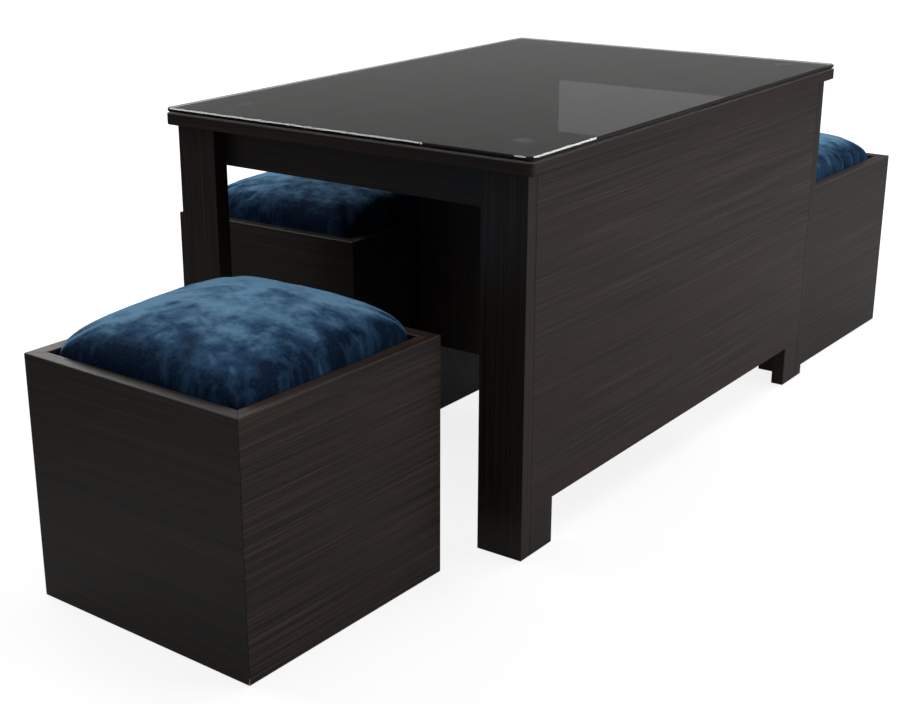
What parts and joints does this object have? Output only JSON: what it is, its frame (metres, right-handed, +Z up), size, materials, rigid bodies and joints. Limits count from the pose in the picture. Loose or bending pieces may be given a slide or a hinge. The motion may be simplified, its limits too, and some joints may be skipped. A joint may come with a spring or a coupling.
{
  "type": "coffee table with ottomans",
  "caption": "Glass-topped board coffee table with open bays under the top and square box ottomans, whose cushioned seats lift out, that slide into the bays",
  "frame": {"origin": "centre of the set's footprint, on the floor", "axes": "+Z up; +Y runs along the table, from the front ottoman to the rear one; +X points to the table's closed long side"},
  "size_m": [0.7868, 1.6764, 0.5245],
  "materials": {
    "wenge_laminate": "satin dark wenge laminate with a fine straight grain",
    "glass": "clear polished float glass",
    "clear_pad": "soft clear plastic",
    "glide": "black moulded plastic",
    "inner_board": "bare plywood",
    "velvet": "crushed blue velvet",
    "felt": "black pressed felt"
  },
  "bodies": {
    "table": {"apron_far": "wenge_laminate", "apron_near": "wenge_laminate", "divider": "wenge_laminate", "divider_glide_1": "glide", "divider_glide_2": "glide", "foot_block_1": "wenge_laminate", "foot_block_2": "wenge_laminate", "glass_pad_1": "clear_pad", "glass_pad_2": "clear_pad", "glass_pad_3": "clear_pad", "glass_pad_4": "clear_pad", "glass_pane": "glass", "leg_face_1": "wenge_laminate", "leg_face_2": "wenge_laminate", "leg_face_3": "wenge_laminate", "leg_face_4": "wenge_laminate", "leg_glide_1": "glide", "leg_glide_2": "glide", "leg_glide_3": "glide", "leg_glide_4": "glide", "leg_return_1": "wenge_laminate", "leg_return_2": "wenge_laminate", "partition_far": "wenge_laminate", "partition_near": "wenge_laminate", "side_panel": "wenge_laminate", "side_rail": "wenge_laminate", "table_top": "wenge_laminate"},
    "front_ottoman": {"front_ottoman_back_wall": "wenge_laminate", "front_ottoman_batten_left": "inner_board", "front_ottoman_batten_right": "inner_board", "front_ottoman_bottom": "inner_board", "front_ottoman_felt_left": "felt", "front_ottoman_felt_right": "felt", "front_ottoman_front_wall": "wenge_laminate", "front_ottoman_left_wall": "wenge_laminate", "front_ottoman_right_wall": "wenge_laminate"},
    "front_seat": {"front_seat_board": "inner_board", "front_cushion": "velvet"},
    "side_ottoman": {"side_ottoman_back_wall": "wenge_laminate", "side_ottoman_batten_left": "inner_board", "side_ottoman_batten_right": "inner_board", "side_ottoman_bottom": "inner_board", "side_ottoman_felt_left": "felt", "side_ottoman_felt_right": "felt", "side_ottoman_front_wall": "wenge_laminate", "side_ottoman_left_wall": "wenge_laminate", "side_ottoman_right_wall": "wenge_laminate"},
    "side_seat": {"side_seat_board": "inner_board", "side_cushion": "velvet"},
    "rear_ottoman": {"rear_ottoman_back_wall": "wenge_laminate", "rear_ottoman_batten_left": "inner_board", "rear_ottoman_batten_right": "inner_board", "rear_ottoman_bottom": "inner_board", "rear_ottoman_felt_left": "felt", "rear_ottoman_felt_right": "felt", "rear_ottoman_front_wall": "wenge_laminate", "rear_ottoman_left_wall": "wenge_laminate", "rear_ottoman_right_wall": "wenge_laminate"},
    "rear_seat": {"rear_seat_board": "inner_board", "rear_cushion": "velvet"}
  },
  "joints": [
    {"name": "front_ottoman_slide", "type": "slide", "parent": "table", "child": "front_ottoman", "axis": [0, 1, 0], "range_m": [0, 0.415]},
    {"name": "side_ottoman_slide", "type": "slide", "parent": "table", "child": "side_ottoman", "axis": [-1, 0, 0], "range_m": [0, 0.2]},
    {"name": "rear_ottoman_slide", "type": "slide", "parent": "table", "child": "rear_ottoman", "axis": [0, 1, 0], "range_m": [-0.025, 0.2]},
    {"name": "front_seat_lift", "type": "slide", "parent": "front_ottoman", "child": "front_seat", "axis": [0, 0, 1], "range_m": [0, 0.07]},
    {"name": "side_seat_lift", "type": "slide", "parent": "side_ottoman", "child": "side_seat", "axis": [0, 0, 1], "range_m": [0, 0.07]},
    {"name": "rear_seat_lift", "type": "slide", "parent": "rear_ottoman", "child": "rear_seat", "axis": [0, 0, 1], "range_m": [0, 0.07]}
  ]
}
